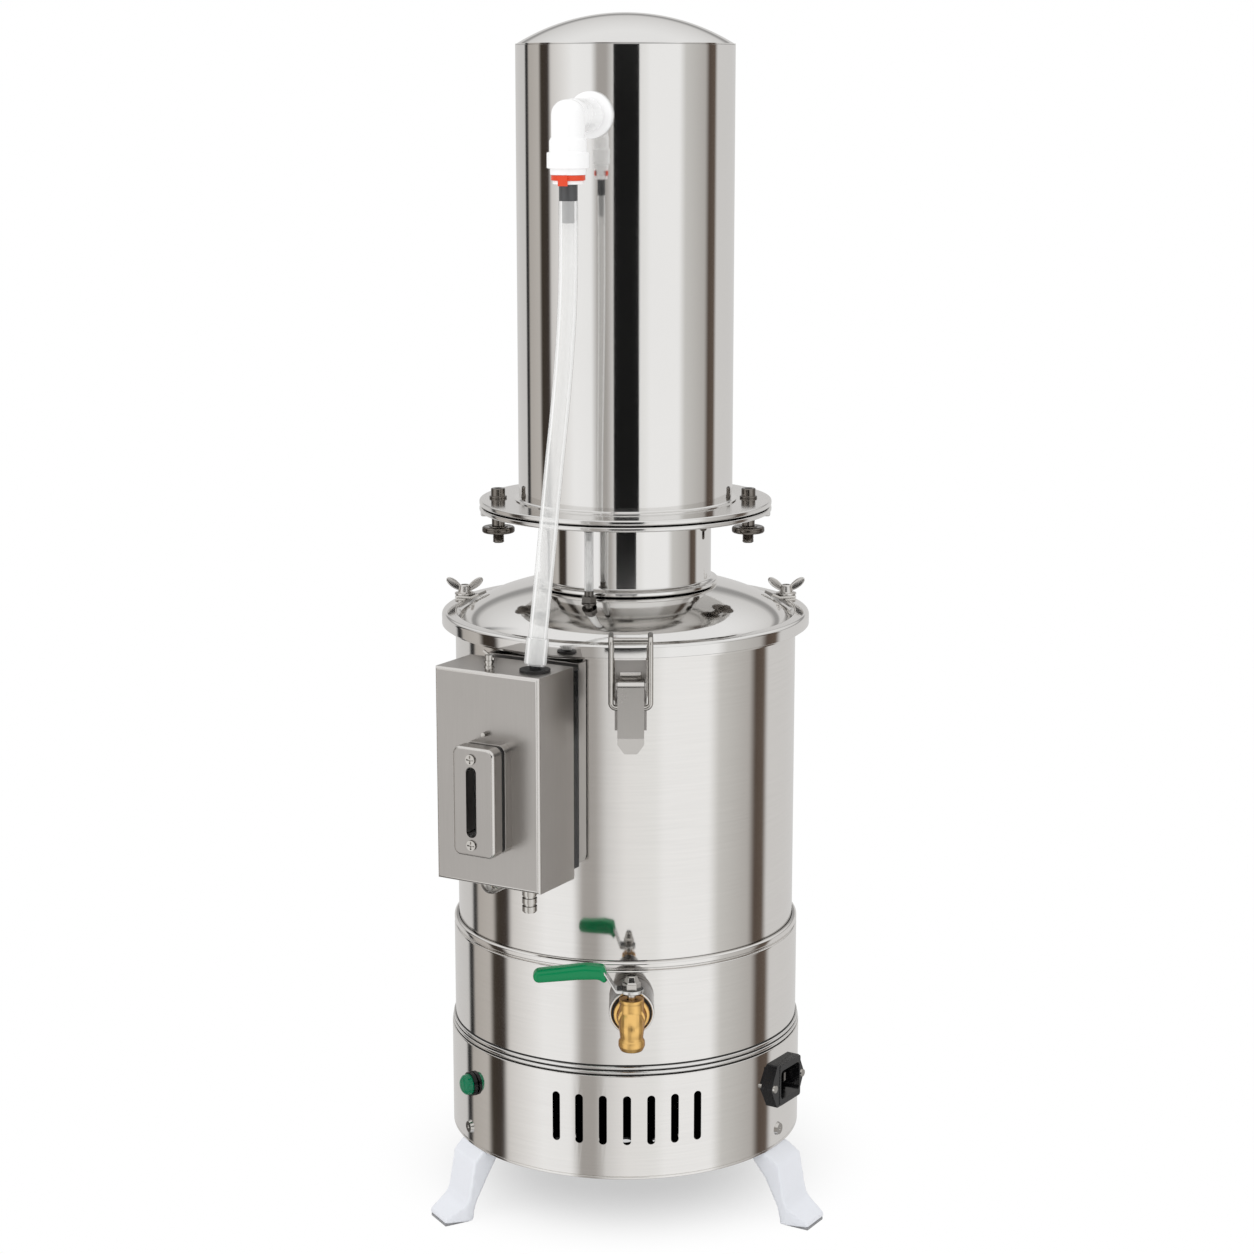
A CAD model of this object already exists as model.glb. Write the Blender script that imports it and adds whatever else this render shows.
import math

import bpy
from mathutils import Matrix, Vector


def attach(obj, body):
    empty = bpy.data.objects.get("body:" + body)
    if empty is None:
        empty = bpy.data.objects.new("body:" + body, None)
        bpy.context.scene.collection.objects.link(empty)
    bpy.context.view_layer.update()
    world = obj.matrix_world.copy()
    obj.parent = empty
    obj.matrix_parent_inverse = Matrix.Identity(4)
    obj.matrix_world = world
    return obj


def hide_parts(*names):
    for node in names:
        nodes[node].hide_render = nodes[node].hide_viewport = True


# A steel water distiller in a white studio. Sizes in the dictionaries are millimetres,
# azimuths are degrees from the front, positive to the right.
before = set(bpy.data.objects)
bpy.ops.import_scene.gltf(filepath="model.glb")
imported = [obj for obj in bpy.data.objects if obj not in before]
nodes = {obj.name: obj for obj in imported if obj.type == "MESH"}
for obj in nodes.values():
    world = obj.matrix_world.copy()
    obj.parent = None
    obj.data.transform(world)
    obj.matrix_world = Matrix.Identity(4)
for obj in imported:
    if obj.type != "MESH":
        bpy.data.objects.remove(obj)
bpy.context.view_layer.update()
mm = 0.001
print("frame loaded,", len(nodes), "nodes")


# camera and scene settings

camera = {"lens": 77.2, "sensor": 36, "place": (0.9, -1574.1, 668.6), "tilt": 78.575}


def addCamera():
    data = bpy.data.cameras.new("camera")
    data.lens = camera["lens"]
    data.sensor_width = camera["sensor"]
    data.clip_end = 20
    view = bpy.data.objects.new("camera", data)
    bpy.context.scene.collection.objects.link(view)
    view.location = Vector(camera["place"]) * mm
    view.rotation_euler = (math.radians(camera["tilt"]), 0, 0)
    bpy.context.scene.camera = view
    bpy.context.scene.view_settings.view_transform = "Standard"


addCamera()


# helpers for modelling


def deselect():
    if bpy.context.mode != "OBJECT":
        bpy.ops.object.mode_set(mode="OBJECT")
    bpy.ops.object.select_all(action="DESELECT")


def work(piece):
    # makes the piece the only one that the next operator acts on
    deselect()
    piece.select_set(True)
    bpy.context.view_layer.objects.active = piece


def selectAll():
    bpy.ops.mesh.select_all(action="SELECT")


def editAll(piece):
    work(piece)
    bpy.ops.object.mode_set(mode="EDIT")
    selectAll()


def leaveEdit():
    bpy.ops.object.mode_set(mode="OBJECT")


def turnZ(azimuth):
    return Matrix.Rotation(math.radians(azimuth), 4, "Z")


def turnX(angle):
    return Matrix.Rotation(math.radians(angle), 4, "X")


def moveBy(x, y, z):
    return Matrix.Translation(Vector((x, y, z)) * mm)


def atFront(x, setback, height, azimuth=0):
    # a piece made about Z, pointing up, is laid down to point forward at that place
    return turnZ(azimuth) @ moveBy(x, -setback, height) @ turnX(90)


def arcPoints(before, corner, after, radius, steps):
    # the round corner between two runs of an outline
    first = (before - corner).normalized()
    second = (after - corner).normalized()
    half = first.angle(second) / 2
    centre = corner + (first + second).normalized() * radius / math.sin(half)
    start = corner + first * radius / math.tan(half) - centre
    sweep = start.angle_signed(corner + second * radius / math.tan(half) - centre)
    return [centre + Matrix.Rotation(-sweep * i / steps, 2) @ start for i in range(steps + 1)]


def rounded(corners, steps):
    # the points of a closed outline; corners are (x, y) or (x, y, radius)
    flat = [Vector((corner[0], corner[1])) for corner in corners]
    points = []
    for i, corner in enumerate(corners):
        if len(corner) == 3 and corner[2] > 0:
            after = flat[(i + 1) % len(flat)]
            points += arcPoints(flat[i - 1], flat[i], after, corner[2], steps)
        else:
            points.append(flat[i])
    return points


# metres within which the points of an outline, or of a node's mesh, are one
weld = {"outline": 0.00001, "node": 0.000002}


def drawn(name, points):
    # an outline drawn with the extrude tool, from one vertex; points are 3-D, in millimetres
    deselect()
    bpy.ops.mesh.primitive_plane_add(size=mm, location=(0, 0, 0))
    piece = bpy.context.active_object
    piece.name = name
    piece.data.name = name
    bpy.ops.object.mode_set(mode="EDIT")
    selectAll()
    bpy.ops.mesh.merge(type="CENTER")
    bpy.ops.transform.translate(value=points[0] * mm)
    for here, there in zip(points, points[1:]):
        bpy.ops.mesh.extrude_region_move(TRANSFORM_OT_translate={"value": (there - here) * mm})
    selectAll()
    bpy.ops.mesh.remove_doubles(threshold=weld["outline"])
    selectAll()
    return piece


def turned(name, corners, steps, arcs=5):
    # a body of revolution about Z from corners of (radius, height) or (radius, height, rounding)
    flat = rounded(corners, arcs)
    piece = drawn(name, [Vector((point.x, 0, point.y)) for point in (*flat, flat[0])])
    bpy.ops.mesh.spin(steps=steps, angle=2 * math.pi, center=(0, 0, 0), axis=(0, 0, 1))
    selectAll()
    bpy.ops.mesh.remove_doubles(threshold=weld["outline"])
    bpy.ops.mesh.normals_make_consistent(inside=False)
    leaveEdit()
    return piece


def pressed(name, corners, low, high, arcs=10):
    # a flat outline of (x, y) or (x, y, rounding) given a thickness along Z
    flat = rounded(corners, arcs)
    piece = drawn(name, [Vector((point.x, point.y, low)) for point in (*flat, flat[0])])
    bpy.ops.mesh.edge_face_add()
    bpy.ops.mesh.extrude_region_move(TRANSFORM_OT_translate={"value": (0, 0, (high - low) * mm)})
    selectAll()
    bpy.ops.mesh.normals_make_consistent(inside=False)
    leaveEdit()
    return piece


def plate(name, width, height, corner, low, high, middle=0):
    # a rectangle with round corners given a thickness along Z
    left = middle - width / 2
    right = middle + width / 2
    up = height / 2
    outline = ((left, -up, corner), (right, -up, corner), (right, up, corner), (left, up, corner))
    return pressed(name, outline, low, high)


def placed(piece, place):
    piece.data.transform(place)
    return piece


def apply(piece, kind, **values):
    work(piece)
    modifier = piece.modifiers.new(kind.lower(), kind)
    for name, value in values.items():
        setattr(modifier, name, value)
    bpy.ops.object.modifier_apply(modifier=modifier.name)
    return piece


def cut(piece, cutter):
    apply(piece, "BOOLEAN", operation="DIFFERENCE", object=cutter, solver="EXACT")
    bpy.data.objects.remove(cutter)


def bevelled(piece, width, segments=3, angle=35, clamp=True):
    limits = {"limit_method": "ANGLE", "angle_limit": math.radians(angle), "use_clamp_overlap": clamp}
    return apply(piece, "BEVEL", width=width * mm, segments=segments, **limits)


def smooth(piece, angle=32):
    # smooth shading in which the large faces stay flat beside their rounded edges
    work(piece)
    bpy.ops.object.shade_smooth_by_angle(angle=math.radians(angle))
    return apply(piece, "WEIGHTED_NORMAL", keep_sharp=True, weight=50)


def joined(name, *pieces):
    work(pieces[0])
    for piece in pieces[1:]:
        piece.select_set(True)
    bpy.ops.object.join()
    pieces[0].name = name
    return pieces[0]


def copied(node, name):
    # a piece that starts from the shape of a node, with its doubles merged
    piece = bpy.data.objects.new(name, nodes[node].data.copy())
    bpy.context.scene.collection.objects.link(piece)
    editAll(piece)
    bpy.ops.mesh.remove_doubles(threshold=weld["node"])
    leaveEdit()
    return piece


def softened(piece, grain, rounds):
    # grown together and rounded off, as a casting is
    apply(piece, "REMESH", mode="VOXEL", voxel_size=grain * mm, adaptivity=0)
    apply(piece, "SMOOTH", factor=0.5, iterations=rounds)
    work(piece)
    bpy.ops.object.shade_smooth()
    return piece


def finish(piece, material, slot, body, *replaced):
    piece.data.materials.clear()
    piece.data.materials.append(material)
    if replaced:
        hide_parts(*replaced)
    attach(piece, body)
    return piece


# material groups

print("materials")


def setInputs(tree, node, inputs):
    # an input gets a value, or a link where the output of another node is given
    for name, value in inputs.items():
        if isinstance(value, bpy.types.NodeSocket):
            tree.links.new(value, node.inputs[name])
        else:
            node.inputs[name].default_value = value


def addNode(tree, kind, inputs, **settings):
    node = tree.nodes.new("ShaderNode" + kind)
    for name, value in settings.items():
        setattr(node, name, value)
    setInputs(tree, node, inputs)
    return node


def fillRamp(node, stops):
    # stops are (place, tone) from the lowest place up, a tone a grey or a colour
    elements = node.color_ramp.elements
    while len(elements) > 1:
        elements.remove(elements[-1])
    for i, (place, tone) in enumerate(stops):
        stop = elements.new(place) if i else elements[0]
        stop.position = place
        stop.color = (*tone, 1) if isinstance(tone, tuple) else (tone, tone, tone, 1)


def newGroup(name, inputs, outputs):
    group = bpy.data.node_groups.new(name, "ShaderNodeTree")
    for inputName, kind, default in inputs:
        made = group.interface.new_socket(name=inputName, in_out="INPUT", socket_type="NodeSocket" + kind)
        if default is not None:
            made.default_value = default
    for outputName, kind in outputs:
        group.interface.new_socket(name=outputName, in_out="OUTPUT", socket_type="NodeSocket" + kind)
    start = group.nodes.new("NodeGroupInput")
    end = group.nodes.new("NodeGroupOutput")
    return group, start.outputs, end


def smudgeGroup():
    # handling marks: soft patches that change the gloss a little
    group, start, end = newGroup(
        "smudges",
        [
            ("Vector", "Vector", None),
            ("Scale", "Float", 12.0),
            ("Low", "Float", 0.04),
            ("High", "Float", 0.08),
        ],
        [("Roughness", "Float"), ("Mask", "Float")],
    )
    noise = addNode(
        group, "TexNoise", {"Vector": start["Vector"], "Scale": start["Scale"], "Detail": 5, "Roughness": 0.6}
    )
    patches = {"Value": noise.outputs["Fac"], "From Min": 0.35, "From Max": 0.68}
    spread = addNode(group, "MapRange", {**patches, "To Min": start["Low"], "To Max": start["High"]})
    setInputs(group, end, {"Roughness": spread.outputs["Result"], "Mask": noise.outputs["Fac"]})
    return group


def brushGroup():
    # fine lines left by an abrasive belt, along the axis whose stretch is small
    group, start, end = newGroup(
        "brushed lines",
        [("Vector", "Vector", None), ("Stretch", "Vector", (1, 1, 1)), ("Scale", "Float", 400.0)],
        [("Height", "Float"), ("Mask", "Float")],
    )
    mapping = addNode(group, "Mapping", {"Vector": start["Vector"], "Scale": start["Stretch"]})
    fine = addNode(
        group, "TexNoise", {"Vector": mapping.outputs["Vector"], "Scale": start["Scale"], "Detail": 3}
    )
    wide = addNode(group, "TexNoise", {"Vector": start["Vector"], "Scale": 25})
    spread = addNode(group, "MapRange", {"Value": fine.outputs["Fac"], "From Min": 0.3, "From Max": 0.7})
    mixed = addNode(
        group, "Math", {0: spread.outputs["Result"], 1: wide.outputs["Fac"]}, operation="MULTIPLY"
    )
    setInputs(group, end, {"Height": spread.outputs["Result"], "Mask": mixed.outputs["Value"]})
    return group


def grainGroup():
    # the fine pebble of a mould or a coat of powder
    group, start, end = newGroup(
        "moulded grain",
        [
            ("Vector", "Vector", None),
            ("Scale", "Float", 900.0),
            ("Color", "Color", (0.5, 0.5, 0.5, 1)),
            ("Dust", "Color", (0.6, 0.6, 0.6, 1)),
            ("Amount", "Float", 0.1),
        ],
        [("Height", "Float"), ("Color", "Color")],
    )
    fine = addNode(group, "TexNoise", {"Vector": start["Vector"], "Scale": start["Scale"], "Detail": 2})
    wide = addNode(group, "TexNoise", {"Vector": start["Vector"], "Scale": 30, "Detail": 4})
    amount = addNode(group, "Math", {0: wide.outputs["Fac"], 1: start["Amount"]}, operation="MULTIPLY")
    blend = addNode(
        group,
        "Mix",
        {"Factor": amount.outputs["Value"], "A": start["Color"], "B": start["Dust"]},
        data_type="RGBA",
    )
    setInputs(group, end, {"Height": fine.outputs["Fac"], "Color": blend.outputs["Result"]})
    return group


smudges = smudgeGroup()
brushedLines = brushGroup()
mouldedGrain = grainGroup()


# materials


def newMaterial(name):
    material = bpy.data.materials.new(name)
    material.use_nodes = True
    tree = material.node_tree
    coordinates = addNode(tree, "TexCoord", {})
    return material, tree, tree.nodes["Principled BSDF"], coordinates.outputs["Object"]


def addGroup(tree, group, vector, **values):
    node = tree.nodes.new("ShaderNodeGroup")
    node.node_tree = group
    setInputs(tree, node, {"Vector": vector, **values})
    return node.outputs


def addBump(tree, shader, height, strength, distance):
    bump = addNode(tree, "Bump", {"Height": height, "Strength": strength, "Distance": distance * mm})
    setInputs(tree, shader, {"Normal": bump.outputs["Normal"]})


def blended(tree, share, first, second):
    mix = addNode(tree, "Mix", {"Factor": share, "A": first, "B": second}, data_type="RGBA")
    return mix.outputs["Result"]


def steepness(tree, low, high):
    # 0 where the eye looks straight at the surface, 1 where it looks along it
    facing = addNode(tree, "LayerWeight", {}).outputs["Facing"]
    spread = addNode(tree, "MapRange", {"Value": facing, "From Min": low, "From Max": high})
    return facing, spread.outputs["Result"]


def steel(
    name, tone, low, high, scale=14.0, lines=0.0, stretch=(1, 1, 1), lineScale=400.0, tint=0.06, rim=None
):
    # metal with handling marks, a brushed finish where lines is set, and a darker rim on small pieces
    material, tree, shader, vector = newMaterial(name)
    marks = addGroup(tree, smudges, vector, Scale=scale, Low=low, High=high)
    worn = marks["Mask"]
    if lines:
        brush = addGroup(tree, brushedLines, vector, Stretch=stretch, Scale=lineScale)
        worn = brush["Mask"]
        addBump(tree, shader, brush["Height"], lines, 0.02)
    colour = blended(tree, worn, (*tone, 1), (*[value * (1 - tint) for value in tone], 1))
    if rim:
        facing, share = steepness(tree, 0.25, 0.85)
        colour = blended(tree, share, colour, (*rim, 1))
    setInputs(tree, shader, {"Metallic": 1, "Roughness": marks["Roughness"], "Base Color": colour})
    return material


def moulded(
    name, tone, dust, roughness, amount=0.12, scale=900.0, bump=0.15, coat=0.0, gloss=0.5, glow=0.0
):
    material, tree, shader, vector = newMaterial(name)
    colours = {"Color": (*tone, 1), "Dust": (*dust, 1), "Amount": amount}
    grain = addGroup(tree, mouldedGrain, vector, Scale=scale, **colours)
    marks = addGroup(tree, smudges, vector, Scale=40.0, Low=roughness * 0.85, High=roughness * 1.2)
    setInputs(
        tree,
        shader,
        {
            "Base Color": grain["Color"],
            "Roughness": marks["Roughness"],
            "Specular IOR Level": gloss,
            "Coat Weight": coat,
            "Coat Roughness": 0.06,
            "Emission Color": (1, 1, 1, 1),
            "Emission Strength": glow,
        },
    )
    addBump(tree, shader, grain["Height"], bump, 0.05)
    return material


def clear(name, tone, roughness, walls, edge=(0.42, 0.42, 0.41)):
    # a see-through tube, clouded where the eye looks along its wall; walls are (facing, alpha)
    material, tree, shader, vector = newMaterial(name)
    colours = {"Color": (*tone, 1), "Dust": (1, 1, 1, 1), "Amount": 0.3}
    grain = addGroup(tree, mouldedGrain, vector, Scale=300.0, **colours)
    facing, outline = steepness(tree, 0.7, 0.92)
    spread = addNode(tree, "ValToRGB", {"Fac": facing})
    fillRamp(spread, walls)
    colour = blended(tree, outline, grain["Color"], (*edge, 1))
    setInputs(tree, shader, {"Base Color": colour, "Roughness": roughness, "Alpha": spread.outputs["Color"]})
    return material


def sightGlass():
    material, tree, shader, vector = newMaterial("sight glass")
    marks = addGroup(tree, smudges, vector, Scale=60.0, Low=0.02, High=0.06)
    glass = {"Base Color": (0.35, 0.38, 0.38, 1), "Transmission Weight": 1}
    setInputs(tree, shader, {"Roughness": marks["Roughness"], **glass})
    return material


def lens(name, tone):
    material, tree, shader, vector = newMaterial(name)
    colours = {"Color": (*tone, 1), "Dust": (0.02, 0.4, 0.22, 1), "Amount": 0.2}
    grain = addGroup(tree, mouldedGrain, vector, Scale=250.0, **colours)
    plastic = {"Roughness": 0.12, "Transmission Weight": 0.25, "Specular IOR Level": 0.35}
    setInputs(tree, shader, {"Base Color": grain["Color"], **plastic})
    addBump(tree, shader, grain["Height"], 0.02, 0.1)
    return material


# how the brushed lines are stretched: upright, round a turned piece, or along a strip
upright = (0.03, 0.03, 1)
lathed = (0.2, 0.2, 1)
strip = (0.2, 1, 1)
brassRim = (0.34, 0.13, 0.02)

look = {
    "mirror": steel("mirror steel", (0.82, 0.81, 0.795), 0.05, 0.085, scale=9),
    "rolled": steel("rolled steel", (0.78, 0.77, 0.755), 0.1, 0.16, scale=9),
    "sheet": steel(
        "sheet steel", (0.80, 0.785, 0.765), 0.075, 0.115, lines=0.015, stretch=upright, lineScale=900
    ),
    "satin": steel(
        "satin steel", (0.47, 0.45, 0.43), 0.28, 0.34, lines=0.12, stretch=(1, 1, 0.03), lineScale=1200
    ),
    "plate": steel(
        "latch steel", (0.58, 0.56, 0.535), 0.24, 0.32, lines=0.12, stretch=(1, 1, 0.04), lineScale=1500
    ),
    "edge": steel("polished edge", (0.72, 0.70, 0.675), 0.16, 0.22, scale=30),
    "turned": steel(
        "turned steel", (0.62, 0.60, 0.57), 0.1, 0.2, 90, lines=0.08, stretch=lathed, rim=(0.1, 0.09, 0.08)
    ),
    "lever": steel(
        "plated strip", (0.74, 0.74, 0.73), 0.12, 0.2, 60, lines=0.06, stretch=strip, rim=(0.2, 0.2, 0.2)
    ),
    "bolt": steel(
        "bolt steel", (0.22, 0.2, 0.18), 0.12, 0.2, 90, lines=0.08, stretch=lathed, rim=(0.05, 0.04, 0.035)
    ),
    "dark": steel("dark steel", (0.16, 0.15, 0.14), 0.2, 0.3, scale=90),
    "inside": steel("inner steel", (0.06, 0.06, 0.06), 0.5, 0.7, scale=20),
    "brass": steel(
        "brass", (0.95, 0.6, 0.21), 0.3, 0.38, 60, lines=0.03, lineScale=260, tint=0.1, rim=brassRim
    ),
    "paint": moulded(
        "white paint", (0.86, 0.88, 0.93), (0.84, 0.86, 0.91), 0.34, coat=0.3, scale=500, bump=0.03
    ),
    "white": moulded("white plastic", (0.97, 0.97, 0.97), (0.93, 0.93, 0.93), 0.24, bump=0.05, glow=0.04),
    "grey": moulded("grey plastic", (0.07, 0.072, 0.075), (0.2, 0.2, 0.2), 0.35),
    "black": moulded("black plastic", (0.004, 0.004, 0.005), (0.02, 0.02, 0.02), 0.22, gloss=0.35),
    "pad": moulded("grey rubber", (0.30, 0.30, 0.31), (0.4, 0.4, 0.4), 0.6),
    "rubber": moulded("black rubber", (0.015, 0.015, 0.015), (0.06, 0.06, 0.06), 0.6, scale=700, bump=0.3),
    "orange": moulded("orange plastic", (0.80, 0.06, 0.012), (0.82, 0.12, 0.05), 0.36),
    "green": moulded("green vinyl", (0.0, 0.22, 0.075), (0.0, 0.28, 0.1), 0.24, bump=0.02, gloss=0.35),
    "lamp": lens("green lens", (0.0, 0.21, 0.09)),
    "glass": sightGlass(),
    "hose": clear(
        "clear hose",
        (0.94, 0.94, 0.93),
        0.14,
        ((0, 0.42), (0.2, 0.45), (0.28, 0.95), (0.36, 0.95), (0.44, 0.55), (0.8, 0.6), (1, 0.9)),
    ),
    "vent": clear(
        "clear vent tube", (0.86, 0.86, 0.85), 0.08, ((0, 0.35), (0.25, 0.4), (0.4, 0.9), (1, 0.95))
    ),
    "lagging": moulded(
        "dark lagging", (0.02, 0.02, 0.02), (0.05, 0.05, 0.05), 0.95, amount=0.5, scale=200, bump=0.8
    ),
}


# the nodes that keep their own shape

kept = {
    "turned": ("skirt_screws", "latch_bail", "bleed_valve", "window_screws", "box_pipes"),
    "inside": (
        "base_plate", "heating_elements", "steam_baffle", "condensate_tray", "condenser_cup", "feed_box_back",
    ),
    "brass": ("water_inlet",),
    "dark": ("inlet_prongs",),
    "grey": ("collet",),
    "black": ("lamp_bezel", "terminal_block"),
    "pad": ("foot_pads",),
    "rubber": ("lid_gasket", "flange_gasket", "hose_port", "wiring"),
    "glass": ("window_glass",),
    "lagging": ("lagging_ring",),
}


def paintNodes():
    for name, group in kept.items():
        for node in group:
            nodes[node].data.materials.clear()
            nodes[node].data.materials.append(look[name])
    nodes["skirt_screws"].visible_glossy = False


def faceMaterial(piece, material, chosen):
    # the faces that chosen(centre, normal) picks get a second material
    piece.data.materials.append(material)
    for face in piece.data.polygons:
        if chosen(face.center, face.normal):
            face.material_index = 1


def brightEdges(piece, azimuth=0):
    # handling polishes the rounded edges between the satin faces
    turn = turnZ(-azimuth).to_3x3()

    def slanted(centre, normal):
        return max(abs(value) for value in turn @ normal) < 0.985

    faceMaterial(piece, look["edge"], slanted)


# the nodes that get broken edges: piece, look, slot, then the width and steps of the bevel, the angle
# from which an edge is broken and the angle up to which faces shade as one
dressed = {
    "hose_sleeve": ("hose_end_sleeve", "hose", "clear_hose", (0.5, 3, 35, 32)),
    "lid_clamps": ("clamp_straps", "turned", "satin_steel", (0.3, 2, 35, 32)),
    "feed_box": ("feed_box_case", "satin", "satin_steel", (0.8, 4, 35, 25)),
    "box_bracket": ("box_channel", "satin", "satin_steel", (0.4, 2, 35, 25)),
    "box_spacer": ("box_spacer_frame", "black", "dark_plastic", (0.4, 2, 35, 25)),
    "window_base": ("window_backing", "satin", "satin_steel", (0.9, 3, 35, 25)),
    "window_seal": ("window_gasket", "rubber", "dark_rubber", (0.3, 2, 35, 25)),
    "latch_base": ("latch_plate", "satin", "satin_steel", (0.3, 2, 35, 30)),
    "latch_lever": ("latch_lever_pressed", "plate", "satin_steel", (0.35, 3, 35, 30)),
    "locking_clip": ("locking_clip_moulded", "orange", "orange_plastic", (0.3, 3, 35, 32)),
    "tap_lever": ("tap_lever_strip", "lever", "fastener_steel", (0.45, 3, 35, 32)),
    "inlet_housing": ("inlet_moulding", "black", "dark_plastic", (0.6, 3, 25, 20)),
}


def dress(node, body="still"):
    name, material, slot, (width, steps, sharp, shading) = dressed[node]
    piece = copied(node, name)
    editAll(piece)
    bpy.ops.mesh.dissolve_limited(angle_limit=math.radians(0.5))
    leaveEdit()
    bevelled(piece, width, steps, sharp)
    return finish(smooth(piece, shading), look[material], slot, body, node)


paintNodes()


# hose

hose = {
    "route": (
        (-30.99, -99.53, 606.2),
        (-30.9, -99.9, 578),
        (-31.8, -101.6, 543),
        (-34.9, -105.6, 502),
        (-39.6, -111.6, 458),
        (-43.3, -117.6, 418),
        (-46.6, -123.6, 385),
        (-49.7, -127.7, 354.5),
    ),
    "radius": 5.3,
    "length": 254,
}


def makeHose():
    curve = bpy.data.curves.new("feed_hose", "CURVE")
    curve.dimensions = "3D"
    curve.resolution_u = 16
    curve.bevel_depth = hose["radius"] * mm
    curve.bevel_resolution = 10
    spline = curve.splines.new("NURBS")
    spline.points.add(len(hose["route"]) - 1)
    for point, place in zip(spline.points, hose["route"]):
        point.co = (*(Vector(place) * mm), 1)
    spline.order_u = 3
    spline.use_endpoint_u = True
    piece = bpy.data.objects.new("feed_hose", curve)
    bpy.context.scene.collection.objects.link(piece)
    finish(piece, look["hose"], "clear_hose", "still", "hose")
    sleeve = dress("hose_sleeve")


makeHose()
print("hose")


# turned sheet-metal pieces


def sheetMetal(name, section, steps, material, node, shading=32):
    piece = smooth(turned(name, section, steps), shading)
    return finish(piece, look[material], "polished_steel", "still", node)


sizes = {
    "baseRadius": 106,
    "baseBottom": 44.2,
    "baseTop": 107.4,
    "ringTop": 113.5,
    "ringRadius": 105,
    "bandRadius": 104,
    "bandTop": 167.5,
    "bandShoulder": 8,
    "potRadius": 101.2,
    "potBottom": 134,
    "rimTop": 354.4,
    "rimRadius": 107,
    "wall": 1.2,
}


vents = {"count": 7, "pitch": 7.6, "middle": 0.5, "width": 4.7, "height": 30, "centre": 80.5}
inlet = {"azimuth": 57, "side": 1.5, "centre": 88.3, "width": 26.4, "height": 20.4}


def makeBase():
    outer = sizes["baseRadius"]
    inner = outer - sizes["wall"]
    section = (
        (outer, sizes["baseBottom"], 0.3),
        (outer, sizes["baseBottom"] + 1.4, 0.4),
        (outer - 0.5, sizes["baseBottom"] + 1.7),
        (outer, sizes["baseBottom"] + 2),
        (outer, sizes["baseTop"], 0.6),
        (outer - 11, sizes["baseTop"]),
        (outer - 11, sizes["baseTop"] - 1.2),
        (inner, sizes["baseTop"] - 1.2),
        (inner, sizes["baseBottom"]),
    )
    shell = turned("base_housing", section, 240)
    through = (-8, 6)  # how far a cutter stands behind the wall and in front of it
    cutters = []
    for i in range(vents["count"]):
        azimuth = vents["middle"] + (i - (vents["count"] - 1) / 2) * vents["pitch"]
        slot = plate("slot", vents["width"], vents["height"], vents["width"] / 2 - 0.02, *through)
        cutters.append(placed(slot, atFront(0, outer, vents["centre"], azimuth)))
    mouth = plate("inlet_mouth", inlet["width"], inlet["height"], 0, *through)
    cutters.append(placed(mouth, atFront(inlet["side"], outer, inlet["centre"], inlet["azimuth"])))
    cut(shell, joined("slots", *cutters))
    smooth(shell)
    finish(shell, look["sheet"], "polished_steel", "still", "base_shell")

    def inward(centre, normal):
        return normal.xy.dot(centre.xy) < -0.5 * centre.xy.length

    faceMaterial(shell, look["inside"], inward)


def makeJointRing():
    # two rolled beads on a dark seal
    outer = sizes["ringRadius"]
    low = sizes["baseTop"]
    high = sizes["ringTop"]
    section = ((outer - 10, low), (outer - 0.9, low), (outer - 0.9, high), (outer - 10, high))
    seal = turned("ring_seal", section, 240)
    finish(smooth(seal), look["rubber"], "dark_rubber", "still")
    beads = []
    lower = ("under_bead", outer + 0.7, low + 0.7, low + 2.8, 0.9)
    upper = ("upper_bead", outer + 0.2, low + 3.5, high - 0.6, 0.7)
    for name, edge, under, over, rounding in (lower, upper):
        section = ((outer - 3, under), (edge, under, rounding), (edge, over, rounding), (outer - 3, over))
        beads.append(turned(name, section, 240))
    ring = joined("joint_ring_beads", *beads)
    finish(smooth(ring), look["rolled"], "polished_steel", "still", "joint_ring")


def makeBand():
    outer = sizes["bandRadius"]
    lip = sizes["potRadius"] + 0.3
    top = sizes["bandTop"]
    crest = top + sizes["bandShoulder"]  # of the rolled bead that closes on the boiler
    section = (
        (outer - 1, sizes["ringTop"]),
        (outer, sizes["ringTop"], 0.3),
        (outer, top + 2.6, 1.1),
        (outer - 1.5, top + 3.4, 0.3),
        (outer - 1.5, top + 4, 0.3),
        (outer, top + 4.4, 0.9),
        (outer, crest, 1.6),
        (lip, crest),
        (lip, crest - 2),
        (outer - 1.9, top + 4.4),
        (outer - 1.9, top - 0.8),
        (outer - 1, top - 0.8),
    )
    sheetMetal("jacket_band_sheet", section, 240, "sheet", "jacket_band", 60)


def makePot():
    outer = sizes["potRadius"]
    inner = outer - sizes["wall"]
    low = sizes["potBottom"]
    top = sizes["rimTop"]
    section = (
        (0, low),
        (outer, low, 6),
        (outer, top - 1.2, 0.4),
        (sizes["rimRadius"], top - 1.2),
        (sizes["rimRadius"], top),
        (inner, top),
        (inner, low + 1.2, 4.8),
        (0, low + 1.2),
    )
    sheetMetal("boiler_pot_sheet", section, 240, "sheet", "boiler_pot")


lid = {"rim": 109.2, "bottom": 354.6, "top": 362.2, "groove": 358.8, "wall": 1.2}
dome = {"radius": 98.5, "base": 353.4, "height": 29.5, "mouth": 51, "steps": 26}


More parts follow.
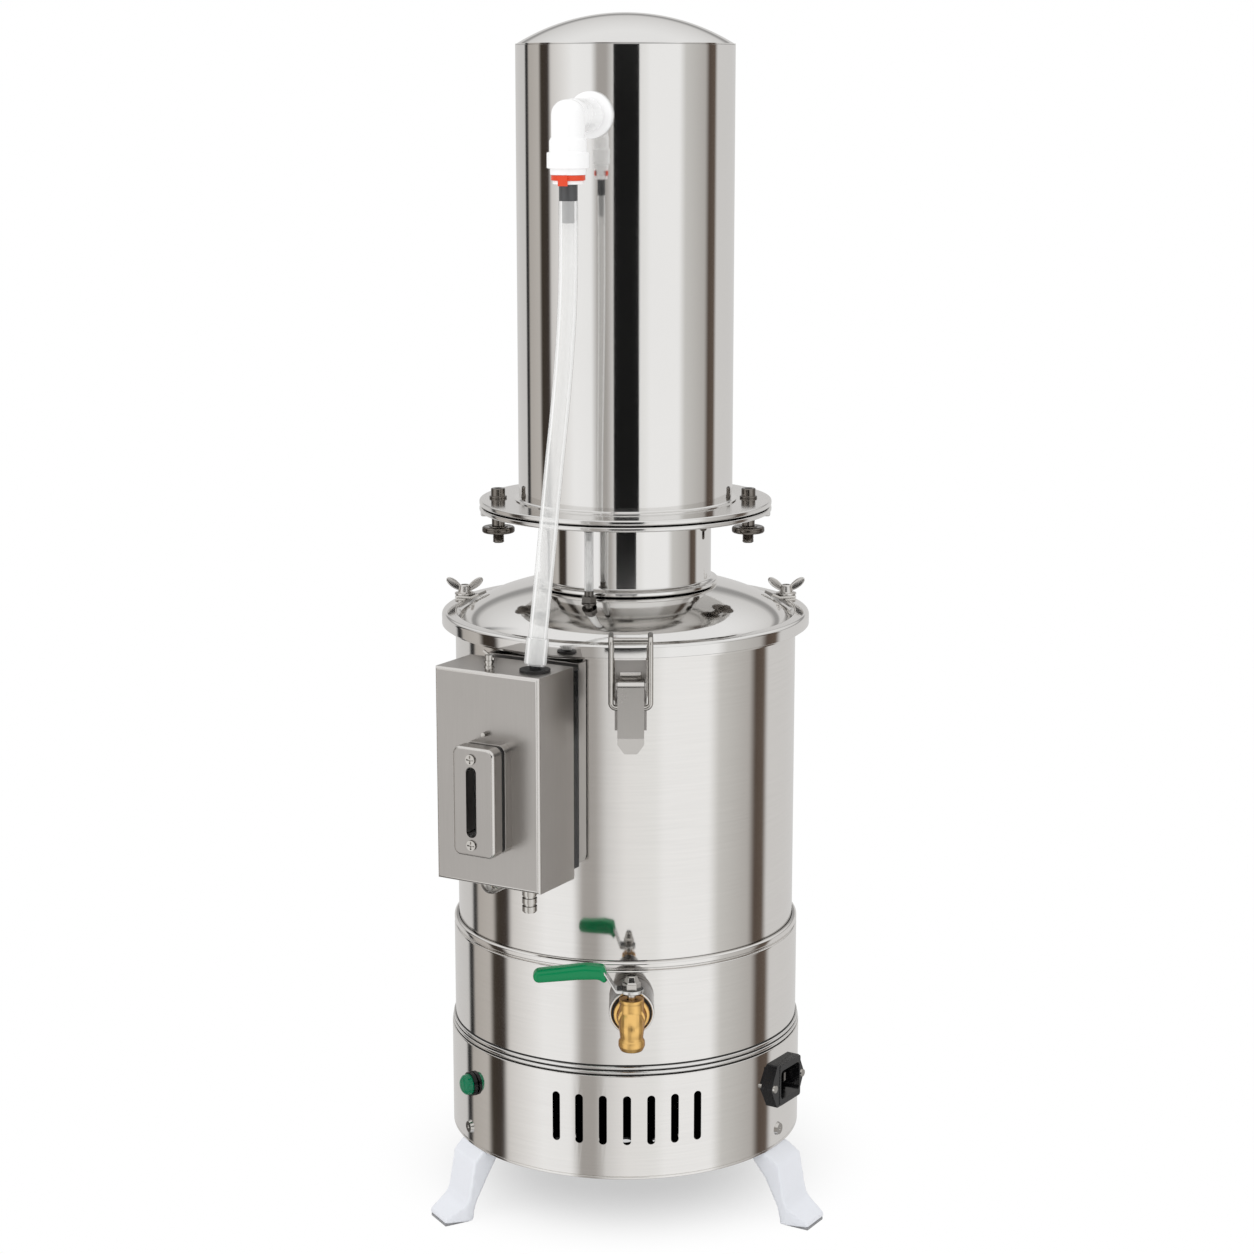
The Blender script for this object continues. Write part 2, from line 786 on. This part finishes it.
def makeLid():
    inner = lid["rim"] - lid["wall"]
    under = lid["top"] - lid["wall"]
    corners = [
        (97.6, 356.2),
        (99.6, 360.0, 0.8),
        (101.2, under, 0.6),
        (inner, under, 1),
        (inner, lid["bottom"]),
        (lid["rim"], lid["bottom"], 0.3),
        (lid["rim"], lid["top"], 2.2),
        (100.8, lid["top"], 1.4),
        (98.6, lid["groove"], 0.6),
    ]
    outerArc = []
    start = math.asin((dome["radius"] - 1.2) / dome["radius"])
    end = math.asin(dome["mouth"] / dome["radius"])
    for i in range(dome["steps"] + 1):
        angle = start + (end - start) * i / dome["steps"]
        height = dome["base"] + dome["height"] * math.cos(angle)
        outerArc.append((dome["radius"] * math.sin(angle), height))
    innerArc = [(r - 0.4 if r > 90 else r, z - lid["wall"]) for r, z in reversed(outerArc)]
    sheetMetal("lid_sheet", (*corners, *outerArc, *innerArc[:-1]), 240, "mirror", "lid", 40)


condenser = {"radius": 63.1, "low": 428.5, "top": 690.5, "rise": 18, "steps": 28}


def makeCondenser():
    outer = condenser["radius"]
    low = condenser["low"]
    top = condenser["top"]
    section = (
        (outer - 1, low),
        (outer + 2.6, low),
        (outer + 2.6, low + 0.6, 0.25),
        (outer + 0.9, low + 0.7, 0.3),
        (outer, low + 1.3, 0.4),
        (outer, top, 0.5),
        (outer - 1, top, 0.3),
    )
    sheetMetal("condenser_shell_tube", section, 224, "mirror", "condenser_shell")
    crown = top + condenser["rise"]
    sphere = (outer**2 + condenser["rise"] ** 2) / (2 * condenser["rise"])
    edge = math.asin((outer - 0.5) / sphere)
    angles = [edge * (1 - i / condenser["steps"]) for i in range(condenser["steps"])]
    arc = [(sphere * math.sin(angle), crown - sphere + sphere * math.cos(angle)) for angle in angles]
    section = (
        (outer - 2.1, top - 6),
        (outer - 1.1, top - 6),
        (outer - 1.1, top + 0.1),
        (outer, top + 0.1, 0.3),
        (outer - 0.1, top + 0.9, 0.4),
        *arc,
        (0, crown),
        (0, crown - 1),
        (30, crown - 5.2),
        (outer - 2.1, top + 0.4),
    )
    sheetMetal("condenser_dome_cap", section, 224, "mirror", "condenser_dome")


def block(name, low, high):
    # a square-edged block between two corners, in millimetres
    deselect()
    bpy.ops.mesh.primitive_cube_add(size=1, location=(0, 0, 0))
    piece = bpy.context.active_object
    piece.name = name
    size = [(high[i] - low[i]) * mm for i in range(3)]
    piece.data.transform(Matrix.Diagonal((*size, 1)))
    return placed(piece, moveBy(*[(high[i] + low[i]) / 2 for i in range(3)]))


flanges = {"edge": 86.3, "rounding": 1, "lug": 15}


def makeFlanges():
    edge = flanges["edge"]
    rounding = flanges["rounding"]
    section = ((46.1, 425.4), (edge, 425.4, rounding), (edge, 428.5, rounding), (46.1, 428.5))
    sheetMetal("upper_flange_plate", section, 224, "rolled", "upper_flange")
    section = ((50.8, 421.8), (edge, 421.8, rounding), (edge, 424.6, rounding), (50.8, 424.6))
    parts = [turned("lower_flange_ring", section, 224)]
    for side in (-1, 1):
        ends = sorted((side * 80.3, side * 85.4))
        half = flanges["lug"] / 2
        lug = block("lug", (ends[0], -half, 418.4), (ends[1], half, 422.2))
        parts.append(bevelled(lug, width=1.1, segments=4))
    lower = joined("lower_flange_plate", *parts)
    finish(smooth(lower), look["rolled"], "polished_steel", "still", "lower_flange")
    # the neck, flared where it stands on the lid
    section = (
        (49.5, 421.7),
        (50.7, 421.7),
        (50.7, 381.9, 1.6),
        (53.1, 381.4, 0.6),
        (54.9, 381.3, 0.9),
        (54.9, 378.9, 0.9),
        (52.2, 378.6, 0.5),
        (49.5, 378.6),
    )
    sheetMetal("neck_tube_rolled", section, 224, "mirror", "neck_tube")


def threaded(radius, low, high, pitch=0.9, depth=0.28):
    # the outside of a threaded end, as rings, from its top down to its chamfered tip
    corners = []
    height = high
    while height > low + 2 * pitch:
        corners += [(radius, height - 0.15), (radius - depth, height - pitch / 2)]
        height -= pitch
    return corners + [(radius, height - 0.15), (radius, low + 0.6), (radius - 0.6, low)]


bolts = {
    "places": (-75.3, 72.7),
    "radius": 3.35,
    "head": 4.2,
    "washer": 5.2,
    "spacer": 3.9,
    "nut": 9.7,
    "nutLow": 407.35,
    "nutHigh": 411.85,
}


def makeBolts():
    radius = bolts["radius"]
    pieces = []
    for place in bolts["places"]:
        section = (
            (0, 432.6),
            (2.1, 432.6),
            (2.1, 434.3, 0.15),
            (bolts["head"], 434.3, 0.6),
            (bolts["head"], 429.7, 0.3),
            (bolts["washer"], 429.7, 0.3),
            (bolts["washer"], 428.5, 0.3),
            (radius, 428.5),
            (radius, 421.8),
            (bolts["spacer"], 421.8),
            (bolts["spacer"], 411.9, 0.2),
            *threaded(radius, 401.8, 411.9),
            (0, 401.8),
        )
        head = turned("bolt", section, 40)
        pieces.append(placed(head, moveBy(place, 0, 0)))
    whole = joined("flange_bolt_set", *pieces)
    finish(smooth(whole, 40), look["bolt"], "fastener_steel", "still", "flange_bolts")
    for place, side in zip(bolts["places"], ("left", "right")):
        low = bolts["nutLow"]
        high = bolts["nutHigh"]
        edge = bolts["nut"]
        section = (
            (radius + 0.05, low),
            (5.4, low, 0.4),
            (5.6, low + 0.5),
            (edge, low + 0.3, 1.3),
            (edge, low + 1.6),
            (edge - 0.25, low + 1.8),
            (edge, low + 2),
            (edge, low + 2.5),
            (edge - 0.25, low + 2.7),
            (edge, low + 2.9),
            (edge, high - 0.2, 1.3),
            (5.6, high - 0.5),
            (5.4, high, 0.4),
            (radius + 0.05, high),
        )
        nut = turned("disc_nut_" + side + "_turned", section, 72)
        nut = placed(nut, moveBy(place, 0, 0))
        finish(smooth(nut, 40), look["bolt"], "fastener_steel", "disc_nut_" + side[0], "disc_nut_" + side)


wings = {"azimuths": (-110, 110), "circle": 104.1, "seat": 363.75, "length": 12.2, "width": 5.6, "lean": 38}


def makeWing(side):
    # one petal, dished on both faces
    deselect()
    bpy.ops.mesh.primitive_cylinder_add(vertices=28, radius=0.5, depth=1, location=(0, 0, 0))
    petal = bpy.context.active_object
    petal.data.transform(Matrix.Diagonal((wings["length"] * mm, wings["width"] * mm, 2 * mm, 1)))
    for vertex in petal.data.vertices:
        # narrower where it meets the hub
        share = vertex.co.x / (wings["length"] * mm)
        vertex.co.y *= 0.86 + 0.28 * share
    bevelled(petal, width=0.7, segments=4)
    work(petal)
    for face in petal.data.polygons:
        face.select = abs(face.normal.z) > 0.99 and face.area > 0.00002
    bpy.ops.object.mode_set(mode="EDIT")
    bpy.ops.mesh.inset(thickness=0.6 * mm, depth=-0.35 * mm, use_individual=True)
    leaveEdit()
    placed(petal, turnX(90))
    placed(petal, moveBy(wings["length"] / 2 + 1.6, 0, 0))
    placed(petal, Matrix.Rotation(math.radians(-wings["lean"]), 4, "Y"))
    if side < 0:
        placed(petal, turnZ(180))
    return placed(petal, moveBy(0, 0, wings["seat"] + 1.4))


def makeWingNuts():
    for azimuth, side in zip(wings["azimuths"], ("left", "right")):
        low = wings["seat"]
        section = (
            (2.05, low),
            (6.2, low, 0.3),
            (6.2, low + 1.2, 0.4),
            (4.2, low + 1.5, 0.6),
            (3.3, low + 5.9, 0.9),
            (2.05, low + 6),
        )
        hub = turned("hub", section, 48)
        nut = joined("wing_nut_" + side + "_cast", hub, makeWing(-1), makeWing(1))
        angle = math.radians(azimuth)
        placed(nut, moveBy(wings["circle"] * math.sin(angle), -wings["circle"] * math.cos(angle), 0))
        finish(smooth(nut, 50), look["edge"], "polished_steel", "wing_nut_" + side[0], "wing_nut_" + side)
    dress("lid_clamps")


vent = {"azimuth": -18.4, "reach": 66, "inner": 1.9, "outer": 2.6, "low": 383, "high": 418.4}


def makeVentTube():
    place = turnZ(vent["azimuth"]) @ moveBy(0, -vent["reach"], 0)
    inner = vent["inner"]
    outer = vent["outer"]
    low = vent["low"]
    high = vent["high"]
    tube = turned("vent_tube", ((inner, low), (outer, low, 0.2), (outer, high, 0.2), (inner, high)), 48)
    finish(smooth(placed(tube, place)), look["vent"], "clear_hose", "still")
    section = (
        (0, 373.8),
        (2.6, 373.8),
        (2.6, 376.4),
        (4.4, 376.4, 0.2),
        (4.4, 377.4, 0.2),
        (3, 377.6),
        (3, 381.6),
        (2.7, 381.8),
        (2.7, 384.4, 0.3),
        (1.8, 384.8),
        (1.8, 388.4, 0.4),
        (0, 388.4),
    )
    foot = turned("foot_nipple", section, 40)
    section = ((0, 421.7), (3.4, 421.7), (3.4, 418.8, 0.4), (1.85, 418.4), (1.85, 413.2, 0.4), (0, 413.2))
    head = turned("head_nipple", section, 40)
    nut = turned("nut", ((2.2, 377.6), (4.4, 377.6, 0.3), (4.4, 381.2, 0.5), (2.2, 381.6)), 6)
    fittings = placed(joined("vent_fittings", foot, head, nut), place)
    finish(smooth(fittings, 40), look["dark"], "dark_plastic", "still", "vent_pipe")


window = {"azimuth": -30.2, "face": 161.1, "x": 2.8, "slotX": 1.8, "height": 282.3, "screws": 48.6}
cover = {"width": 27, "height": 62, "corner": 4.5, "depth": 10}
opening = {"width": 6.7, "height": 40, "corner": 3.3}


def makeBox():
    for node in ("feed_box", "box_bracket", "box_spacer", "window_base", "window_seal"):
        piece = dress(node)
        if node in ("feed_box", "window_base"):
            brightEdges(piece, window["azimuth"])
    depth = cover["depth"]
    bezel = plate("window_bezel", cover["width"], cover["height"], cover["corner"], 0, depth)
    bevelled(bezel, width=1.9, segments=6, angle=60, clamp=False)
    middle = window["slotX"] - window["x"]
    cut(bezel, plate("slot", opening["width"], opening["height"], opening["corner"], -1, depth + 1, middle))
    for side in (-1, 1):
        deselect()
        bpy.ops.mesh.primitive_cylinder_add(vertices=48, radius=3 * mm, depth=mm, location=(0, 0, 0))
        sink = bpy.context.active_object
        cut(bezel, placed(sink, moveBy(middle, side * window["screws"] / 2, depth + 0.1)))
    placed(bezel, atFront(window["x"], window["face"], window["height"], window["azimuth"]))
    finish(smooth(bezel, 25), look["satin"], "satin_steel", "still", "window_cover")
    brightEdges(bezel, window["azimuth"])


def makeLatch():
    dress("latch_base")
    brightEdges(dress("latch_lever", "latch_handle"))


elbow = {"azimuth": -17.3, "reach": 104, "height": 651.6, "radius": 9.2, "start": 64.5, "seat": 63.4}


def makeElbow():
    place = turnZ(elbow["azimuth"])
    down = place @ moveBy(0, -elbow["reach"], 0)
    radius = elbow["radius"]
    bend = turned("bend", ((0, 5), (radius, 5), (radius, 41, 8.2), (0, 41)), 64)
    placed(bend, atFront(0, elbow["start"], elbow["height"], elbow["azimuth"]))
    drop = turned("drop", ((0, 636), (radius, 636), (radius, 660.4, 8.2), (0, 660.4)), 64)
    placed(drop, down)
    body = softened(joined("elbow_bend", bend, drop), grain=0.45, rounds=14)
    bulkhead = turned("bulkhead", ((7, 0), (13, 0, 0.4), (13, 3.6, 1.6), (9.6, 5), (7, 5)), 64)
    placed(bulkhead, atFront(0, elbow["seat"], elbow["height"], elbow["azimuth"]))
    section = (
        (8.6, 640.2),
        (9.3, 640.2, 0.2),
        (10.25, 638.3, 0.5),
        (10.25, 632.6),
        (11.6, 632, 0.4),
        (11.6, 623.8, 0.5),
        (9.9, 623.4),
        (9.7, 620.2, 0.3),
        (7.4, 620.2),
        (7.4, 617.3),
        (8.5, 617.2, 0.2),
        (8.4, 615.2, 0.4),
        (5.2, 615.2),
        (5.2, 640.2),
    )
    socket = turned("socket", section, 96)
    placed(socket, down)
    bits = joined("elbow_moulding", smooth(bulkhead, 40), smooth(socket, 30), body)
    finish(bits, look["white"], "white_plastic", "still", "elbow_body")
    dress("locking_clip")


tap = {"x": 3.5, "height": 156, "face": 134, "spout": 146, "stem": 140.8, "cap": 172.9}


def makeTap():
    section = (
        (8.2, 0.3),
        (12.8, 0.3, 0.4),
        (12.8, 3.2, 0.3),
        (11.9, 3.4),
        (11.9, 5, 0.2),
        (12.8, 5.2, 0.3),
        (12.8, 29.2, 1),
        (11.4, 30, 0.2),
        (10.5, 28.6),
        (8.2, 28.6),
    )
    boss = turned("boss", section, 96)
    placed(boss, atFront(tap["x"], 104, tap["height"]))
    finish(smooth(boss), look["bolt"], "polished_steel", "still", "tap_boss")
    washer = turned("tap_washer", ((8.4, 0), (11.2, 0, 0.3), (11.2, 1, 0.3), (8.4, 1)), 80)
    placed(washer, atFront(tap["x"], 132.7, tap["height"]))
    finish(smooth(washer), look["rubber"], "dark_rubber", "still")
    rim = turned("boss_rim", ((11.5, 0), (12.7, 0, 0.4), (12.7, 1, 0.45), (11.5, 1, 0.4)), 96)
    placed(rim, atFront(tap["x"], tap["face"] - 0.9, tap["height"]))
    finish(smooth(rim), look["mirror"], "polished_steel", "still")


def makeSpout():
    # cast brass: flange, bar, bend and nozzle grown into one, and the neck for the stem
    shank = turned(
        "shank",
        ((0, 0), (8, 0), (8, 2), (10.2, 2, 0.4), (10.2, 5.6, 1), (8.3, 6.2), (7.6, 13), (0, 13)),
        64,
    )
    placed(shank, atFront(tap["x"], tap["face"] - 2, tap["height"]))
    curve = bpy.data.curves.new("bend", "CURVE")
    curve.dimensions = "3D"
    curve.resolution_u = 12
    curve.bevel_depth = 7.3 * mm
    curve.bevel_resolution = 8
    curve.use_fill_caps = True
    spline = curve.splines.new("BEZIER")
    spline.bezier_points.add(2)
    run = ((-136, 156, 4, 0), (-144.2, 153.4, 3, -3.2), (-146, 145.6, 0, -4))
    for point, (y, z, ahead, up) in zip(spline.bezier_points, run):
        point.co = Vector((tap["x"], y, z)) * mm
        point.handle_left = Vector((tap["x"], y + ahead, z - up)) * mm
        point.handle_right = Vector((tap["x"], y - ahead, z + up)) * mm
    spline.bezier_points[2].radius = 0.89
    bend = bpy.data.objects.new("bend", curve)
    bpy.context.scene.collection.objects.link(bend)
    work(bend)
    bpy.ops.object.convert(target="MESH")
    bend = bpy.context.active_object
    section = (
        (0, 138.6),
        (6.2, 138.6, 0.5),
        (7.5, 141.4, 1.4),
        (7.4, 144.2, 0.9),
        (6.5, 145.6, 0.6),
        (6.5, 150),
        (0, 150),
    )
    nozzle = turned("nozzle", section, 64)
    placed(nozzle, moveBy(tap["x"], -tap["spout"], 0))
    neck = turned(
        "neck",
        ((2.8, 152), (7.2, 152), (7.2, 158), (6.7, 164.4, 1), (7, 165.2, 0.4), (7, 166.9, 0.4), (2.8, 166.9)),
        64,
    )
    placed(neck, moveBy(tap["x"], -tap["stem"], 0))
    body = softened(joined("tap_casting", shank, bend, nozzle, neck), grain=0.34, rounds=5)
    bore = turned("bore", ((0, 137), (4.4, 137), (4.4, 146), (0, 146)), 48)
    placed(bore, moveBy(tap["x"], -tap["spout"], 0))
    cut(body, bore)
    finish(body, look["brass"], "brass", "still", "tap_body")


def makeLever():
    centre = (tap["x"], -tap["stem"])
    dress("tap_lever", "tap_handle")
    base = tap["cap"]
    section = (
        (0, base),
        (5.3, base, 0.3),
        (5.3, base + 3.4, 0.5),
        (4.4, base + 4),
        (3.1, base + 7.4, 0.7),
        (0, base + 7.6),
    )
    nut = turned("cap_nut", section, 6)
    bevelled(nut, width=0.35, angle=25)
    stem = turned("stem", ((0, 160), (2.4, 160), (2.4, base + 0.2), (0, base + 0.2)), 32)
    nut = placed(joined("cap_nut", nut, stem), moveBy(*centre, 0))
    finish(smooth(nut, 30), look["turned"], "fastener_steel", "tap_handle", "tap_stem")
    outline = (
        (-13.4, 178.2, 1),
        (-14.6, 186.6, 3.4),
        (-26, 187.4, 10),
        (-55.1, 184, 3.8),
        (-55.1, 176.6, 3.4),
        (-30, 178.6, 20),
        (-18.6, 178.8, 4),
        (-15.4, 176.6, 1),
    )
    grip = pressed("tap_grip_moulded", outline, -5, 5, arcs=8)
    bevelled(grip, width=2.8, segments=5, angle=60, clamp=False)
    placed(grip, moveBy(*centre, 0) @ turnX(90))
    softened(grip, grain=0.34, rounds=34)
    finish(grip, look["green"], "green_plastic", "tap_handle", "tap_grip")


pilotLamp = {"setback": 106.3, "height": 83.6, "azimuth": -59.1}


def makeLamp():
    place = atFront(0, pilotLamp["setback"], pilotLamp["height"], pilotLamp["azimuth"])
    bezel = turned("bezel", ((6.2, 0), (7.2, 0, 0.3), (7.2, 1.7, 0.6), (6.4, 2.2), (6.2, 2.2)), 72)
    lensPiece = turned(
        "lamp_lens_moulded",
        ((0, 1.2), (6.2, 1.2), (6.3, 3.1, 0.4), (5.9, 5.2, 1.4), (4.2, 6.9, 3), (0, 7.6)),
        72,
        arcs=6,
    )
    finish(smooth(placed(lensPiece, place), 50), look["lamp"], "lamp_green", "still", "lamp_lens")
    finish(smooth(placed(bezel, place)), look["black"], "dark_plastic", "still")


def makeInlet():
    dress("inlet_housing").visible_glossy = False


def makeFeet():
    feet = softened(copied("feet", "foot_castings"), grain=0.75, rounds=10)
    finish(feet, look["paint"], "white_paint", "still", "feet")


makeBase()
makeJointRing()
makeBand()
makePot()
makeLid()
makeCondenser()
makeFlanges()
print("sheet metal")
makeBolts()
makeWingNuts()
makeVentTube()
makeBox()
makeLatch()
makeElbow()
print("fittings")
makeTap()
makeSpout()
makeLever()
makeLamp()
makeInlet()
makeFeet()
print("tap, lamp, inlet and feet")


# studio

# what the metal mirrors: (azimuth from the front, colour) of the cards round the object
cards = (
    (-180, (0.66, 0.65, 0.64)),
    (-131, (0.66, 0.65, 0.64)),
    (-128, (0.03, 0.03, 0.03)),
    (-124, (0.03, 0.03, 0.03)),
    (-121, (0.48, 0.45, 0.42)),
    (-103, (0.55, 0.52, 0.49)),
    (-99, (0.05, 0.04, 0.03)),
    (-88, (0.05, 0.04, 0.035)),
    (-84, (0.72, 0.70, 0.68)),
    (-66, (0.90, 0.89, 0.88)),
    (-56, (1, 1, 1)),
    (-36, (0.98, 0.98, 0.98)),
    (-29, (0.42, 0.40, 0.38)),
    (-20, (0.42, 0.40, 0.38)),
    (-12, (0.74, 0.73, 0.72)),
    (0, (0.90, 0.89, 0.88)),
    (20, (0.92, 0.92, 0.91)),
    (26, (1, 1, 1)),
    (58, (1, 1, 1)),
    (66, (0.66, 0.65, 0.63)),
    (92, (0.50, 0.48, 0.46)),
    (98, (0.10, 0.075, 0.06)),
    (107, (0.13, 0.10, 0.08)),
    (112, (0.72, 0.71, 0.70)),
    (180, (0.66, 0.65, 0.64)),
)

# how bright they are by the sine of the elevation: a gap lies between the cards and the ceiling
levels = (
    (-0.82, 0.45),
    (-0.64, 0.85),
    (-0.4, 1),
    (0.22, 1),
    (0.26, 0.5),
    (0.31, 0.5),
    (0.38, 1),
)

room = {"tone": 0.93, "ceilingStart": 0.35, "ceilingFull": 0.75}


def makeWorld():
    # a white room, in which only metal sees the cards and the camera sees plain white
    world = bpy.data.worlds.new("studio")
    bpy.context.scene.world = world
    world.use_nodes = True
    tree = world.node_tree
    tree.nodes.clear()
    grey = (room["tone"], room["tone"], room["tone"], 1)
    direction = addNode(tree, "TexCoord", {})
    split = addNode(tree, "SeparateXYZ", {"Vector": direction.outputs["Generated"]})
    forward = addNode(tree, "Math", {0: split.outputs["Y"], 1: -1}, operation="MULTIPLY")
    azimuth = addNode(
        tree, "Math", {0: split.outputs["X"], 1: forward.outputs["Value"]}, operation="ARCTAN2"
    )
    share = addNode(
        tree, "MapRange", {"Value": azimuth.outputs["Value"], "From Min": -math.pi, "From Max": math.pi}
    )
    ring = addNode(tree, "ValToRGB", {"Fac": share.outputs["Result"]})
    fillRamp(ring, [((angle + 180) / 360, tone) for angle, tone in cards])
    height = addNode(tree, "MapRange", {"Value": split.outputs["Z"], "From Min": -1})
    gaps = addNode(tree, "ValToRGB", {"Fac": height.outputs["Result"]})
    fillRamp(gaps, [((sine + 1) / 2, tone) for sine, tone in levels])
    overhead = addNode(
        tree,
        "MapRange",
        {"Value": split.outputs["Z"], "From Min": room["ceilingStart"], "From Max": room["ceilingFull"]},
    )
    walls = blended(tree, overhead.outputs["Result"], ring.outputs["Color"], grey)
    shaded = addNode(
        tree,
        "Mix",
        {"Factor": 1, "A": walls, "B": gaps.outputs["Color"]},
        data_type="RGBA",
        blend_type="MULTIPLY",
    )
    rays = addNode(tree, "LightPath", {}).outputs
    mirrored = blended(tree, rays["Is Glossy Ray"], grey, shaded.outputs["Result"])
    seen = addNode(
        tree, "Math", {0: rays["Is Camera Ray"], 1: rays["Is Transmission Ray"]}, operation="MAXIMUM"
    )
    light = blended(tree, seen.outputs["Value"], mirrored, (1, 1, 1, 1))
    background = addNode(tree, "Background", {"Color": light})
    addNode(tree, "OutputWorld", {"Surface": background.outputs["Background"]})


# the floor is white from "far" on, and keeps the object's shadow nearer its middle
shadow = {"middle": (0, 0.05, 0), "near": 0.06, "far": 0.17, "white": 0.5}


def makeFloor():
    deselect()
    bpy.ops.mesh.primitive_grid_add(x_subdivisions=8, y_subdivisions=8, size=12, location=(0, 0, 0))
    floor = bpy.context.active_object
    floor.name = "floor"
    material, tree, shader, vector = newMaterial("floor")
    setInputs(tree, shader, {"Base Color": (0.97, 0.97, 0.97, 1), "Roughness": 1, "Specular IOR Level": 0})
    away = addNode(tree, "VectorMath", {0: vector, 1: shadow["middle"]}, operation="DISTANCE")
    fade = addNode(
        tree,
        "MapRange",
        {
            "Value": away.outputs["Value"],
            "From Min": shadow["near"],
            "From Max": shadow["far"],
            "To Min": shadow["white"],
        },
        interpolation_type="SMOOTHSTEP",
    )
    rays = addNode(tree, "LightPath", {}).outputs
    seen = addNode(tree, "Math", {0: rays["Is Camera Ray"], 1: fade.outputs["Result"]}, operation="MULTIPLY")
    plainWhite = addNode(tree, "Emission", {})
    whitened = addNode(
        tree,
        "MixShader",
        {0: seen.outputs["Value"], 1: shader.outputs["BSDF"], 2: plainWhite.outputs["Emission"]},
    )
    unseen = addNode(tree, "BsdfTransparent", {})
    # metal sees through the floor, to the cards
    blend = addNode(
        tree,
        "MixShader",
        {0: rays["Is Glossy Ray"], 1: whitened.outputs["Shader"], 2: unseen.outputs["BSDF"]},
    )
    setInputs(tree, tree.nodes["Material Output"], {"Surface": blend.outputs["Shader"]})
    floor.data.materials.append(material)


card = {"left": -320, "right": 375, "bottom": 90, "top": 780, "setback": 1500}


def makeCard():
    # the dark front of the room, which only the upper half of the object mirrors
    deselect()
    bpy.ops.mesh.primitive_plane_add(size=1, location=(0, 0, 0))
    piece = bpy.context.active_object
    piece.name = "dark_card"
    width = (card["right"] - card["left"]) * mm
    height = (card["top"] - card["bottom"]) * mm
    piece.data.transform(Matrix.Diagonal((width, height, 1, 1)))
    placed(piece, turnX(90))
    across = (card["left"] + card["right"]) / 2
    placed(piece, moveBy(across, -card["setback"], (card["bottom"] + card["top"]) / 2))
    material, tree, shader, vector = newMaterial("dark card")
    setInputs(tree, shader, {"Base Color": (0.01, 0.01, 0.01, 1), "Roughness": 1, "Specular IOR Level": 0})
    piece.data.materials.append(material)
    piece.visible_camera = False
    piece.visible_diffuse = False
    piece.visible_shadow = False
    piece.visible_transmission = False


def makeLight():
    light = bpy.data.lights.new("soft lamp", "AREA")
    light.shape = "RECTANGLE"
    light.size = 1.6
    light.size_y = 1.2
    light.energy = 9
    lamp = bpy.data.objects.new("soft lamp", light)
    bpy.context.scene.collection.objects.link(lamp)
    lamp.location = (-1.2, -1.3, 2.2)
    lamp.rotation_euler = (Vector((0, 0, 0.2)) - lamp.location).to_track_quat("-Z", "Y").to_euler()
    lamp.visible_glossy = False


makeWorld()
makeFloor()
makeCard()
makeLight()
print("studio")

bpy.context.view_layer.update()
